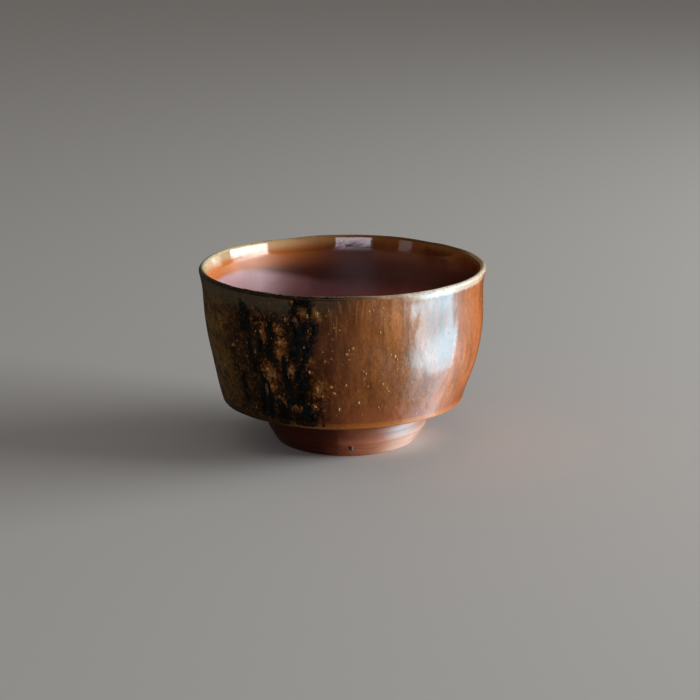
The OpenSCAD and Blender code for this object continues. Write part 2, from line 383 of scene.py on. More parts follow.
def run_field(angle, height):
    """How deep a point lies in a dark run: 1 at its middle, 0.5 at its outline, 0 well outside."""
    field = np.zeros(len(angle))
    for middle, top, bottom, half, sway in RUNS:
        fall = np.clip((top * MM - height) / ((top - bottom) * MM), -RUN_PAST, 1 + RUN_PAST)
        across = np.radians(apart(angle, middle)) * WAIST_R - sway * MM * np.sin(RUN_WAVES * fall)
        width = half * MM * (RUN_NECK + (1 - RUN_NECK) * np.clip(fall, 0, 1))
        past = np.maximum(0, np.maximum(fall - 1, -fall)) * (top - bottom) * MM
        reach = np.hypot(across, past) / width
        field = np.maximum(field, np.clip(1 - reach / 2, 0, 1))
    return field


def swayed(points):
    """The points, with those at mid height moved to the right."""
    height = points[:, 2]
    sway = ease(height, EDGE_MID[1], SWAY_Z) * (1 - ease(height, SWAY_Z, TOP))
    moved = points.copy()
    moved[:, 0] += SWAY * sway
    return moved


def torn(field, angle, height, size, depth):
    """A field with edges torn by upright noise, as glaze that ran and crawled."""
    torn_field = field.copy()
    for i in np.nonzero(field > 0)[0]:
        across = math.radians(angle[i]) * WAIST_R / size
        up = height[i] / size
        wave = noise.noise((across, up / 3, 0.5)) + 0.5 * noise.noise((2.3 * across, up, 7.5))
        torn_field[i] = field[i] + depth * wave
    return np.clip(torn_field, 0, 1)


def spot_field(angle, height, spots):
    """How deep a point lies in a spot: 1 at its middle, 0.5 at its outline, 0 well outside."""
    field = np.zeros(len(angle))
    for middle, level, half_w, half_h in spots:
        across = np.radians(apart(angle, middle)) * WAIST_R / (half_w * MM)
        up = (height - level * MM) / (half_h * MM)
        field = np.maximum(field, np.clip(1 - np.hypot(across, up) / 2, 0, 1))
    return field


# Materials

class Graph:
    """Short calls for building a node tree."""

    def __init__(self, tree):
        self.tree = tree

    def node(self, kind, **settings):
        node = self.tree.nodes.new("ShaderNode" + kind)
        for key, value in settings.items():
            setattr(node, key, value)
        return node

    def feed(self, node, socket, value):
        target = node.inputs[socket]
        if isinstance(value, bpy.types.NodeSocket):
            self.tree.links.new(value, target)
        else:
            target.default_value = value

    def point(self):
        """The point itself, in metres."""
        return self.node("TexCoord").outputs["Object"]

    def attribute(self, name):
        return self.node("Attribute", attribute_name=name).outputs["Fac"]

    def math(self, operation, *values):
        node = self.node("Math", operation=operation)
        for i, value in enumerate(values):
            self.feed(node, i, value)
        return node.outputs[0]

    def times(self, first, *others):
        """The product of masks and numbers."""
        for other in others:
            first = self.math("MULTIPLY", first, other)
        return first

    def plus(self, value, other, share):
        """A value with a share of another added."""
        return self.math("MULTIPLY_ADD", other, share, value)

    def nudge(self, value, *swings):
        """A value moved up or down by noises, each with the span that it moves over."""
        for mask, span in swings:
            value = self.math("ADD", value, self.math("MULTIPLY_ADD", mask, span, -span / 2))
        return value

    def range(self, value, low, high, to_low=0.0, to_high=1.0):
        """Eases from to_low to to_high as a value goes from low to high."""
        node = self.node("MapRange", interpolation_type="SMOOTHSTEP")
        for i, number in enumerate((value, low, high, to_low, to_high)):
            self.feed(node, i, number)
        return node.outputs[0]

    def spread(self, mask, low, high):
        """Spreads the usual reach of a noise from low to high."""
        return self.range(mask, 0.3, 0.7, low, high)

    def off(self, turn, angle):
        """How far a turn is from an angle, the short way round: 0 to 0.5."""
        return self.math("PINGPONG", self.math("SUBTRACT", turn, by_angle(angle)), 0.5)

    def near(self, turn, angle, far, close, *levels):
        """1 where a turn is close to an angle and 0 where it is far, unless levels say other values."""
        return self.range(self.off(turn, angle), far, close, *levels)

    def across(self, turn, start, end):
        """0 at one angle and 1 at another."""
        return self.range(turn, by_angle(start), by_angle(end))

    def mix(self, factor, a, b):
        node = self.node("Mix", data_type="RGBA")
        self.feed(node, 0, factor)
        self.feed(node, 6, a)
        self.feed(node, 7, b)
        return node.outputs[2]

    def ramp(self, factor, stops):
        node = self.node("ValToRGB")
        elements = node.color_ramp.elements
        while len(elements) < len(stops):
            elements.new(0.5)
        for element, (position, *tone) in zip(elements, stops):
            element.position = position
            element.color = linear(*tone)
        self.feed(node, 0, factor)
        return node.outputs[0]

    def angle_ramp(self, turn, tones):
        return self.ramp(turn, [(by_angle(angle), *tone) for angle, *tone in tones])

    def group(self, name, **values):
        node = self.node("Group")
        node.node_tree = bpy.data.node_groups[name]
        for key, value in values.items():
            self.feed(node, key.capitalize(), value)
        return node.outputs

    def mask(self, name, **values):
        return self.group(name, **values)["Mask"]

    def round_the_cup(self):
        outputs = self.group("round the cup")
        return outputs["Turn"], outputs["Rise"]


class Finish(Graph):
    """A material: its node tree, its shader and the colour laid so far."""

    def __init__(self, name):
        self.material = bpy.data.materials.new(name)
        self.material.use_nodes = True
        super().__init__(self.material.node_tree)
        self.shader = self.tree.nodes["Principled BSDF"]

    def cover(self, colour, *masks):
        """Lays a colour over the rest, by the product of masks and numbers."""
        self.colour = self.mix(self.times(*masks), self.colour, colour)

    def tint(self, tone, *masks):
        self.cover(linear(*tone), *masks)

    def surface(self, rough, height, strength, distance):
        """Feeds the shader the colour laid so far, a roughness, and a bump from a height."""
        self.feed(self.shader, "Base Color", self.colour)
        self.feed(self.shader, "Roughness", rough)
        bump = self.node("Bump")
        for name, value in (("Height", height), ("Strength", strength), ("Distance", distance)):
            self.feed(bump, name, value)
        self.feed(self.shader, "Normal", bump.outputs[0])
        return self.material


def by_angle(angle):
    """The turn, 0 to 1, at an angle in degrees from the front."""
    return angle / 360 + 0.5


def linear(r, g, b):
    """A colour given as screen values from 0 to 255."""
    def straight(c):
        c /= 255
        return c / 12.92 if c <= 0.04045 else ((c + 0.055) / 1.055) ** 2.4
    return (straight(r), straight(g), straight(b), 1)


def new_group(name, inputs, outputs):
    tree = bpy.data.node_groups.new(name, "ShaderNodeTree")
    for label, default in inputs:
        socket = tree.interface.new_socket(label, in_out="INPUT", socket_type="NodeSocketFloat")
        socket.default_value = default
    for label in outputs:
        tree.interface.new_socket(label, in_out="OUTPUT", socket_type="NodeSocketFloat")
    enter = tree.nodes.new("NodeGroupInput")
    leave = tree.nodes.new("NodeGroupOutput")
    return Graph(tree), enter.outputs, leave


def round_the_cup_group():
    """Turn is 0 to 1 round the cup, 0.5 at the front. Rise is 0 at the foot and 1 at the lip."""
    graph, _, leave = new_group("round the cup", [], ["Turn", "Rise"])
    parts = graph.node("SeparateXYZ")
    graph.feed(parts, 0, graph.point())
    turn = graph.math("ARCTAN2", parts.outputs[0], graph.times(parts.outputs[1], -1.0))
    graph.feed(leave, "Turn", graph.math("MULTIPLY_ADD", turn, 0.5 / math.pi, 0.5))
    graph.feed(leave, "Rise", graph.math("DIVIDE", parts.outputs[2], TOP))


def feed_waves(graph, enter, leave, point):
    waves = graph.node("TexNoise")
    graph.feed(waves, "Vector", point)
    graph.feed(waves, "Scale", enter["Scale"])
    graph.feed(waves, "Detail", enter["Detail"])
    graph.feed(leave, "Mask", waves.outputs[0])
    return waves


def streaks_group():
    """Noise drawn out upright, as glaze that ran down the wall."""
    graph, enter, leave = new_group("streaks", [("Scale", 900), ("Stretch", 0.15), ("Detail", 3)], ["Mask"])
    stretch = graph.node("CombineXYZ")
    for i, length in enumerate((1.0, 1.0, enter["Stretch"])):
        graph.feed(stretch, i, length)
    drawn = graph.node("VectorMath", operation="MULTIPLY")
    graph.feed(drawn, 0, graph.point())
    graph.feed(drawn, 1, stretch.outputs[0])
    feed_waves(graph, enter, leave, drawn.outputs[0])


def mottle_group():
    """Soft cloudy change of tone."""
    graph, enter, leave = new_group("mottle", [("Scale", 150), ("Detail", 4), ("Twist", 0.4)], ["Mask"])
    waves = feed_waves(graph, enter, leave, graph.point())
    graph.feed(waves, "Distortion", enter["Twist"])


def specks_group():
    """Round specks of melted ash: Amount is the share of cells that hold one."""
    graph, enter, leave = new_group(
        "specks", [("Scale", 700), ("Size", 0.3), ("Amount", 0.3), ("Shift", 0)], ["Mask"])
    spread = graph.node("CombineXYZ")
    for i in range(3):
        graph.feed(spread, i, enter["Shift"])
    shift = graph.node("VectorMath", operation="ADD")
    graph.feed(shift, 0, graph.point())
    graph.feed(shift, 1, spread.outputs[0])
    cells = graph.node("TexVoronoi")
    graph.feed(cells, "Vector", shift.outputs[0])
    graph.feed(cells, "Scale", enter["Scale"])
    parts = graph.node("SeparateColor")
    graph.feed(parts, 0, cells.outputs["Color"])
    size = graph.times(enter["Size"], graph.math("MULTIPLY_ADD", parts.outputs[0], 0.7, 0.3))
    inside = graph.range(cells.outputs["Distance"], size, graph.times(size, 0.35))
    held = graph.math("LESS_THAN", parts.outputs[1], enter["Amount"])
    graph.feed(leave, "Mask", graph.times(inside, held))


# Tones round the cup: angle, then red, green and blue as screen values
OUTER_TONES = [
    (-180, 112, 68, 34), (-130, 104, 74, 34), (-95, 166, 140, 92), (-72, 172, 134, 72),
    (-54, 144, 106, 48), (-40, 88, 60, 28), (-20, 106, 62, 30), (-6, 142, 80, 44),
    (8, 176, 107, 54), (26, 202, 127, 64), (42, 178, 102, 52), (60, 206, 122, 62),
    (85, 190, 100, 46), (130, 138, 76, 36), (180, 112, 68, 34),
]
HEM_TONES = [
    (-180, 96, 60, 30), (-110, 62, 46, 26), (-60, 60, 42, 22), (-32, 84, 60, 30),
    (-12, 176, 120, 60), (0, 232, 138, 48), (30, 244, 150, 56), (62, 230, 132, 56),
    (95, 196, 106, 54), (140, 124, 72, 36), (180, 96, 60, 30),
]
# Lip tones, pale on the right and at the far left partly as a painted highlight where the side light falls
LIP_TONES_AND_HIGHLIGHT = [
    (-180, 150, 104, 56), (-120, 226, 204, 156), (-88, 214, 206, 176), (-68, 118, 108, 84),
    (-46, 70, 60, 44), (-20, 120, 100, 78), (-8, 198, 178, 152), (6, 212, 186, 154),
    (22, 222, 202, 172), (60, 248, 240, 220), (95, 214, 188, 142), (122, 130, 92, 54),
    (150, 110, 74, 40), (180, 150, 104, 56),
]
LIP_SIDE_TONES_AND_HIGHLIGHT = [
    (-180, 130, 90, 50), (-120, 170, 152, 110), (-80, 112, 104, 80), (-62, 74, 64, 46),
    (-48, 60, 50, 36), (-26, 52, 40, 28), (-10, 60, 44, 30), (0, 104, 72, 44),
    (20, 196, 158, 114), (32, 246, 238, 224), (60, 250, 240, 218), (80, 234, 204, 164),
    (105, 180, 130, 80), (180, 130, 90, 50),
]
# The foot's tones: pale pink on the right as a painted highlight, dark on the left as painted shade
FOOT_TONES_LIT_AND_SHADED = [
    (-180, 150, 74, 48), (-60, 62, 20, 12), (-20, 80, 32, 19), (-4, 136, 66, 40),
    (12, 222, 134, 96), (26, 236, 156, 118), (40, 238, 176, 150), (60, 240, 198, 180),
    (85, 222, 160, 136), (115, 170, 90, 62), (180, 150, 74, 48),
]
# Tones up the inside: rise, then red, green and blue; the purple-red low down is made brighter as a painted
# sheen
INNER_TONES_AND_SHEEN = [
    (0.24, 120, 52, 44), (0.5, 142, 66, 60), (0.74, 152, 78, 76), (0.8, 110, 48, 40),
    (0.835, 84, 34, 14), (0.9, 92, 38, 14), (0.95, 104, 50, 18), (0.985, 150, 104, 50),
]
RED_CLAY = (140, 72, 50)
DARK_CLAY = (104, 48, 34)
CLAY_SPECK = (60, 34, 30)


def wall_masks(graph):
    """The places and noises that the colours of the wall share."""
    turn, rise = graph.round_the_cup()
    cloud = graph.mask("mottle", scale=130)
    streak = graph.mask("streaks", scale=700, stretch=0.12)
    grain = graph.mask("mottle", scale=1500, detail=3)
    return SimpleNamespace(
        turn=turn, rise=rise, cloud=cloud, streak=streak, grain=grain,
        fine=graph.mask("streaks", scale=2600, stretch=0.2),
        broad=graph.mask("streaks", scale=170, stretch=0.3, detail=4),
        moved=graph.nudge(turn, (cloud, 0.06), (streak, 0.05)),
        left=graph.times(graph.across(turn, 10, -25), graph.across(turn, -170, -120)),
        under_lip=graph.range(graph.plus(rise, grain, 0.14), 0.93, 1.02))


def streaked_amber(graph, at):
    """Amber in upright streaks, redder low on the right and darker low on the left."""
    streaks = graph.times(
        graph.spread(at.streak, 0.86, 1.14), graph.spread(at.fine, 0.88, 1.12),
        graph.spread(at.grain, 0.85, 1.15), graph.spread(at.broad, 0.74, 1.26))
    toned = graph.node("VectorMath", operation="SCALE")
    graph.feed(toned, 0, graph.angle_ramp(at.moved, OUTER_TONES))
    graph.feed(toned, "Scale", streaks)
    low = graph.range(graph.plus(at.rise, at.cloud, 0.14), 0.5, 0.34)
    graph.colour = toned.outputs[0]
    graph.tint((190, 96, 58), low, 0.5)
    graph.tint((44, 31, 16), low, at.left, 0.8)


def glaze_by_lip(graph, at):
    """Dark olive on the left, fine pale drips in front, cream creeping down on the right, near white there
    partly as a painted highlight.
    """
    graph.tint((112, 98, 72), at.under_lip, at.left, 0.8)
    drip = graph.range(graph.mask("streaks", scale=1700, stretch=0.07), 0.5, 0.66)
    drip = graph.times(drip, graph.range(at.rise, 0.68, 0.92), graph.near(at.turn, 16, 0.09, 0.05))
    graph.tint((222, 156, 92), drip, 0.5)
    # Cream under the lip on the right, near white partly as a painted highlight of the side light
    creep_and_highlight = graph.range(graph.plus(at.rise, at.grain, 0.016), 0.957, 0.976)
    graph.tint((250, 234, 210), creep_and_highlight, graph.near(at.moved, 50, 0.085, 0.05), 0.8)


def ash_side(graph, at):
    """The side that the ash fell on: grains of dark, amber and rust, and the dark field of the runs."""
    ashy = graph.across(graph.plus(at.turn, at.cloud, 0.06), 12, -12)
    ashy = graph.times(ashy, graph.across(at.turn, -130, -70))
    patch = graph.range(graph.mask("mottle", scale=330, detail=5, twist=0.8), 0.48, 0.6)
    graph.tint((38, 40, 34), patch, ashy, 0.7)
    amber = graph.range(graph.mask("streaks", scale=420, stretch=0.4, detail=5), 0.5, 0.64)
    amber = graph.times(amber, graph.near(at.turn, -66, 0.09, 0.04), graph.range(at.rise, 0.94, 0.8))
    graph.tint((172, 120, 46), amber, 0.55)
    within = graph.plus(graph.plus(at.turn, at.cloud, 0.05), at.broad, 0.05)
    field = graph.times(graph.across(within, -46, -30), graph.across(within, 14, -6))
    graph.tint((46, 30, 18), field, 0.8)
    rust = graph.range(graph.mask("mottle", scale=1450, detail=4), 0.53, 0.63)
    graph.tint((164, 100, 40), rust, ashy, 0.7)
    soot = graph.range(graph.mask("mottle", scale=1300, detail=4, twist=1), 0.51, 0.6)
    graph.tint((13, 12, 11), soot, ashy, 0.76)
    # Ash dusted on again just under the lip
    graph.tint((140, 126, 98), at.under_lip, at.left, 0.55)


def melted_ash(graph, at):
    """Dark runs, pale blotches with an orange halo, and rust round the crystals, with ragged edges."""
    crumbly = graph.mask("mottle", scale=1900, detail=5, twist=0.6)
    ragged = graph.nudge(0.0, (at.grain, 0.9), (at.fine, 0.5), (crumbly, 2.4))

    def ragged_level(name):
        level = graph.attribute(name)
        return graph.plus(level, ragged, graph.range(level, 0.0, 0.25))

    run = ragged_level("run")
    graph.tint((34, 25, 18), graph.range(run, 0.05, 0.5, 0.0, 0.8))
    deep = graph.mix(graph.range(at.cloud, 0.35, 0.65), linear(11, 11, 11), linear(18, 32, 36))
    graph.cover(deep, graph.range(run, 0.3, 0.75, 0.0, 0.92))
    pale = ragged_level("blotch")
    blotch = graph.range(pale, 0.65, 1.05)
    graph.tint((186, 108, 34), graph.range(pale, 0.2, 0.6), 0.8)
    graph.tint((188, 182, 144), blotch, 0.85)
    ring = graph.range(ragged_level("halo"), 0.2, 0.7)
    graph.tint((186, 112, 44), ring, 0.7)
    return blotch


def outer_material():
    graph = Finish("amber ash glaze")
    at = wall_masks(graph)
    streaked_amber(graph, at)
    glaze_by_lip(graph, at)
    ash_side(graph, at)
    blotch = melted_ash(graph, at)
    # The hem's orange shows a little way up the wall
    lowest = graph.range(graph.plus(at.rise, at.grain, 0.02), 0.295, 0.28)
    graph.cover(graph.angle_ramp(at.moved, HEM_TONES), lowest, 0.6)
    # Specks of ash, thick in front and thin behind
    share = graph.near(at.turn, -8, 0.26, 0.06, 0.05, 0.42)
    speck = graph.mask("specks", scale=620, size=0.3, amount=share)
    dust = graph.mask("specks", scale=1500, size=0.35, amount=share, shift=0.3)
    graph.tint((206, 146, 66), speck, 0.8)
    graph.tint((204, 128, 54), dust, 0.65)
    graph.feed(graph.shader, "Coat Weight", 0.55)
    graph.feed(graph.shader, "Coat Roughness", 0.16)
    rough = graph.plus(graph.range(at.cloud, 0.35, 0.65, 0.3, 0.42), blotch, 0.2)
    height = graph.plus(graph.times(at.fine, 0.4), at.grain, 0.5)
    height = graph.plus(height, graph.math("MAXIMUM", speck, blotch), 0.5)
    height = graph.plus(height, graph.mask("mottle", scale=280, detail=2), 3.0)
    return graph.surface(rough, height, 0.35, 0.12 * MM)


def inner_material():
    """Red-brown inside, purple-red low down brightened as a painted sheen: orange and cream at the left of
    the lip brightened as painted light, an ash film below it with a painted sheen, and painted shade on the
    right.
    """
    graph = Finish("red-brown glaze inside")
    turn, rise = graph.round_the_cup()
    cloud = graph.mask("mottle", scale=90)
    streak = graph.mask("streaks", scale=500, stretch=0.15)
    # The bands of tone stand highest at the left
    shift = graph.math("MULTIPLY_ADD", graph.off(turn, -105), 1.1, -0.123)
    shift = graph.math("MAXIMUM", graph.math("MINIMUM", shift, 0.08), -0.055)
    slope = graph.plus(rise, shift, graph.range(rise, 0.93, 0.85))
    graph.colour = graph.ramp(graph.nudge(slope, (streak, 0.05)), INNER_TONES_AND_SHEEN)
    # Painted light: orange and cream brightened at the left under the lip, where the side light falls
    painted_light_left = graph.near(turn, -115, 0.2, 0.03)
    graph.tint((222, 124, 44), painted_light_left, graph.range(rise, 0.8, 0.9), 0.9)
    graph.tint((216, 196, 156), painted_light_left, graph.range(rise, 0.92, 0.97), 0.8)
    # An ash film at the lower left, made paler by a painted sheen of the side light
    milky_film_and_sheen = graph.times(graph.near(turn, -105, 0.23, 0.05), graph.range(slope, 0.84, 0.79))
    graph.tint((218, 174, 182), milky_film_and_sheen, graph.range(rise, 0.3, 0.55), 0.75)
    ochre = graph.times(graph.range(cloud, 0.4, 0.6), graph.near(turn, 140, 0.12, 0.04))
    graph.tint((160, 92, 48), ochre, graph.range(rise, 0.84, 0.9), 0.6)
    graph.tint((110, 58, 48), graph.range(cloud, 0.4, 0.75, 0.0, 0.3))
    # Painted shade on the inside right, which faces away from the side light
    painted_shade_right = graph.times(graph.near(turn, 70, 0.22, 0.08), graph.range(rise, 0.55, 0.75))
    graph.tint((30, 14, 8), painted_shade_right, graph.range(rise, 0.93, 0.86), 0.45)
    # Matt below a glossy band at the lip
    rough = graph.range(rise, 0.9, 0.935, 0.4, 0.07)
    return graph.surface(rough, graph.mask("mottle", scale=700, detail=2), 0.15, 0.05 * MM)


def lip_material():
    """Thin glaze, rubbed pale on top and paler on the right and the far left by a painted highlight of the
    side light, dark and pitted at the front left.
    """
    graph = Finish("worn lip glaze")
    turn, _ = graph.round_the_cup()
    grain = graph.mask("mottle", scale=1300, detail=3)
    moved = graph.nudge(turn, (graph.mask("mottle", scale=260), 0.1))
    edge = graph.nudge(graph.attribute("edge"), (grain, 0.5))
    # Pale on the right and at the far left partly as a painted highlight of the side light, over a cream
    # lip
    side = graph.angle_ramp(moved, LIP_SIDE_TONES_AND_HIGHLIGHT)
    worn_and_highlit = graph.angle_ramp(moved, LIP_TONES_AND_HIGHLIGHT)
    graph.colour = graph.mix(graph.range(edge, 0.42, 0.62), side, worn_and_highlit)
    graph.tint((84, 54, 32), graph.range(grain, 0.5, 0.7, 0.0, 0.5))
    pitted = graph.near(turn, -42, 0.16, 0.07)
    pit = graph.mask("specks", scale=1500, size=0.45, amount=0.5, shift=0.1)
    crumb = graph.mask("specks", scale=1700, size=0.4, amount=0.3, shift=0.7)
    graph.tint((20, 17, 13), pit, pitted, 0.8)
    graph.tint((186, 146, 92), crumb, pitted, 0.6)
    height = graph.math("SUBTRACT", grain, graph.times(pit, pitted))
    return graph.surface(graph.spread(grain, 0.18, 0.36), height, 0.3, 0.08 * MM)


def hem_material():
    graph = Finish("orange hem glaze")
    turn, _ = graph.round_the_cup()
    cloud = graph.mask("mottle", scale=400)
    graph.colour = graph.angle_ramp(graph.nudge(turn, (cloud, 0.08)), HEM_TONES)
    graph.tint((110, 60, 32), graph.range(cloud, 0.5, 0.75, 0.0, 0.5))
    return graph.surface(graph.spread(cloud, 0.22, 0.4), cloud, 0.2, 0.06 * MM)


def clay_masks(graph):
    """Clouds of tone, fine grain, turning rings and dark specks, as fired clay has them."""
    cloud = graph.mask("mottle", scale=200)
    grain = graph.mask("mottle", scale=2600, detail=3)
    rings = graph.mask("streaks", scale=60, stretch=30, detail=2)
    speck = graph.mask("specks", scale=900, size=0.25, amount=0.12)
    return cloud, grain, rings, speck


def clay_material():
    graph = Finish("bare red clay")
    cloud, grain, rings, speck = clay_masks(graph)
    graph.colour = graph.mix(graph.spread(cloud, 0.0, 1.0), linear(*RED_CLAY), linear(*DARK_CLAY))
    graph.tint(DARK_CLAY, graph.range(rings, 0.4, 0.7, 0.0, 0.35))
    graph.tint(CLAY_SPECK, speck, 0.6)
    height = graph.plus(graph.times(grain, 0.6), rings, 0.5)
    return graph.surface(graph.spread(grain, 0.5, 0.7), height, 0.35, 0.08 * MM)


def foot_material():
    """Fired clay, pale pink on the right as a painted highlight of the side light, dark on the left as
    painted shade, with painted shade on the neck under the bowl.
    """
    graph = Finish("fired foot clay")
    turn, rise = graph.round_the_cup()
    cloud, grain, rings, speck = clay_masks(graph)
    graph.colour = graph.angle_ramp(graph.nudge(turn, (cloud, 0.1)), FOOT_TONES_LIT_AND_SHADED)
    graph.tint((150, 78, 56), graph.range(rings, 0.4, 0.7, 0.0, 0.2))
    # Painted shade on the neck, under the bowl's overhang
    neck = graph.range(rise, CREASE_Z / TOP, (CREASE_Z + 1.2 * MM) / TOP, 0.0, 0.4)
    graph.tint((96, 42, 26), neck)
    graph.tint(CLAY_SPECK, speck, 0.5)
    height = graph.plus(graph.times(grain, 0.6), rings, 0.25)
    return graph.surface(graph.spread(grain, 0.3, 0.42), height, 0.25, 0.08 * MM)


def run_material():
    graph = Finish("dark ash run")
    cloud = graph.mask("mottle", scale=260)
    grain = graph.mask("mottle", scale=1150, detail=4, twist=1)
    streak = graph.mask("streaks", scale=1200, stretch=0.2)
    deep = graph.mix(graph.range(cloud, 0.35, 0.65), linear(11, 11, 11), linear(20, 34, 38))
    level = graph.nudge(graph.attribute("run"), (grain, 1.8))
    graph.colour = graph.mix(graph.range(level, 0.35, 0.75), linear(44, 30, 20), deep)
    rust = graph.range(graph.mask("mottle", scale=1250, detail=4), 0.56, 0.68)
    graph.tint((120, 76, 36), rust, 0.5)
    return graph.surface(graph.spread(streak, 0.2, 0.36), streak, 0.3, 0.08 * MM)


def crystal_material():
    graph = Finish("ash crystal")
    grain = graph.mask("mottle", scale=1800, detail=3)
    graph.colour = graph.mix(graph.range(grain, 0.35, 0.65), linear(204, 138, 56), linear(224, 190, 118))
    return graph.surface(graph.spread(grain, 0.3, 0.5), grain, 0.4, 0.08 * MM)


def iron_material():
    graph = Finish("melted iron")
    grain = graph.mask("mottle", scale=1800, detail=3)
    graph.colour = graph.mix(grain, linear(50, 44, 50), linear(112, 108, 118))
    return graph.surface(graph.spread(grain, 0.25, 0.45), grain, 0.3, 0.05 * MM)


def wear(piece, material):
    piece.data.materials.clear()
    piece.data.materials.append(material)


def finish_piece(piece, node, material):
    wear(piece, material)
    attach(piece, BODY)
    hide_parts(node)


# The glaze, drawn and turned as one skin and then parted by stretch

SKIN_PARTS = ["inner_glaze", "lip_glaze", "outer_glaze", "glaze_hem"]


def glaze_skin():
    points = inside_outline() + arc(LIP_MID, LIP_ROUND, 180 - INSIDE_LEAN, -LIP_FLARE, LIP_STEPS)
    points += FLARE + WALL + hem_outline()
    skin = draw_section("glaze", points)
    turn_section(skin)
    for part in SKIN_PARTS:
        skin.data.materials.append(bpy.data.materials.new("stretch " + part))
    for face in skin.data.polygons:
        x, y, z = face.center
        radius = math.hypot(x, y)
        if z > LIP_END[1]:
            part = "lip_glaze"
        elif z > WALL_END[1] and radius > wall_r(z) - SKIN_T:
            part = "outer_glaze"
        elif z < WALL_END[1] and radius > EDGE_MID[0]:
            part = "glaze_hem"
        else:
            part = "inner_glaze"
        face.material_index = SKIN_PARTS.index(part)
    shape_by_hand(skin)
    edit_all(skin)
    # Sorted faces are parted in the same order each time
    bpy.ops.mesh.sort_elements(type="MATERIAL", elements={"FACE"})
    bpy.ops.mesh.separate(type="MATERIAL")
    done(skin)
    parts = {}
    for piece in [o for o in bpy.context.selected_objects if o.type == "MESH"]:
        part = piece.data.materials[0].name.split()[-1]
        piece.name = part + "_skin"
        parts[part] = thicken(piece, SKIN_T)
    return parts


def shape_by_hand(skin):
    """The uneven lip and wall of a thrown cup: slow waves, runs of glaze, a rough stretch of lip."""
    points = points_of(skin)
    angle, height, radius = polar(points)
    weigh(skin, "lip", ease(height, TOP - LIP_WAVES, TOP))
    rough = ease(TOP - height, *ROUGH_DEPTH) * ease(np.abs(apart(angle, ROUGH_ANGLE)), *ROUGH_SPAN)
    weigh(skin, "rough lip", rough)
    outside = (radius > wall_r(height) - SKIN_T) & (height > EDGE_MID[1] + MM)
    weigh(skin, "wall", outside * ease(height, EDGE_MID[1], EDGE_MID[1] + 3 * MM))
    note(skin, "run", torn(run_field(angle, height) * outside, angle, height, *RUN_TEAR))
    note(skin, "blotch", torn(spot_field(angle, height, BLOTCHES) * outside, angle, height, *BLOTCH_TEAR))
    note(skin, "halo", spot_field(angle, height, HALOS) * outside)
    across = np.degrees(np.arctan2(height - LIP_MID[1], radius - LIP_MID[0]))
    note(skin, "edge", np.clip((across + LIP_FLARE) / (180 - INSIDE_LEAN + LIP_FLARE), 0, 1))
    move_points(skin, swayed(points))
    weigh(skin, "body", 1 - 0.75 * ease(wall_r(height) - radius, 0.2 * MM, 1.2 * MM))
    displace(skin, size=16 * MM, strength=0.3 * MM, group="body")
    displace(skin, size=13 * MM, strength=0.5 * MM, group="lip", direction="Z", shift=0.05)
    displace(skin, size=4.5 * MM, strength=0.13 * MM, stretch=1.6, group="wall")
    displace(skin, size=1.1 * MM, strength=0.07 * MM, stretch=7, group="wall")
    displace(skin, size=0.8 * MM, strength=0.35 * MM, group="rough lip", depth=2)


def thicken(piece, thickness):
    """Gives a sheet its thickness, inwards."""
    modifier = piece.modifiers.new("thickness", "SOLIDIFY")
    modifier.thickness = thickness
    modifier.offset = -1
    apply_all(piece)
    return smooth(piece)


def clay_outline():
    """The clay under the glaze, out to the bare slope between the turned edge and the foot."""
    points = [np.array([0, FLOOR_Z - CLAY_DEPTH])]
    inside_top = LIP_START + (CLAY_DEPTH, 0)
    points += curve(
        points[0], (FLOOR_HANDLE * LIP_START[0], FLOOR_Z - CLAY_DEPTH),
        inside_top - toward(90 - INSIDE_LEAN, INSIDE_HANDLE * (LIP_START[1] - FLOOR_Z)),
        inside_top, INSIDE_STEPS)
    points += [point - (CLAY_DEPTH, 0) for point in [LIP_END] + FLARE + WALL]
    points += arc(EDGE_MID, EDGE_ROUND - SKIN_T - EDGE_GAP, -WALL_LEAN, UNDER_SLOPE - 90, HEM_STEPS)
    seat = np.array([FOOT_TOP_R + FOOT_X + FOOT_SEAT, UNDERSIDE])
    reach = UNDER_HANDLE * (points[-1][0] - seat[0])
    points += curve(
        points[-1], points[-1] - toward(UNDER_SLOPE, reach), seat + (reach, 0), seat, UNDER_STEPS)
    points.append(np.array([0, UNDERSIDE]))
    return points


def clay_body():
    clay = draw_section("clay_body", clay_outline())
    turn_section(clay, steps=PLAIN_TURN_STEPS)
    move_points(clay, swayed(points_of(clay)))
    return smooth(clay, 50)


# Runs, crystals and spots

def run_sheet(outer):
    """Dark melted ash that stands up from the glaze where the runs are."""
    edit(outer)
    bpy.ops.mesh.select_mode(type="FACE")
    bpy.ops.mesh.select_all(action="DESELECT")
    done(outer)
    angle, height, _ = polar(points_of(outer))
    near = run_field(angle, height) > RUN_REACH
    for face in outer.data.polygons:
        away = face.normal.x * face.center.x + face.normal.y * face.center.y
        face.select = away > 0 and all(near[i] for i in face.vertices)
    edit(outer)
    bpy.ops.mesh.select_mode(type="FACE")
    bpy.ops.mesh.duplicate()
    bpy.ops.mesh.separate(type="SELECTED")
    done(outer)
    sheet = [o for o in bpy.context.selected_objects if o != outer][0]
    sheet.name = "ash_run_melt"
    edit_all(sheet)
    bpy.ops.mesh.subdivide(number_cuts=1, smoothness=0)
    done(sheet)
    points = points_of(sheet)
    angle, height, _ = polar(points)
    field = torn(run_field(angle, height), angle, height, *RUN_TEAR)
    normals = np.empty(len(points) * 3)
    sheet.data.vertices.foreach_get("normal", normals)
    lift = ease(field, *RUN_EDGE) * RUN_RISE - RUN_SINK
    move_points(sheet, points + normals.reshape(-1, 3) * lift[:, None])
    displace(sheet, size=0.9 * MM, strength=0.12 * MM, stretch=2, depth=2)
    return thicken(sheet, RUN_T)


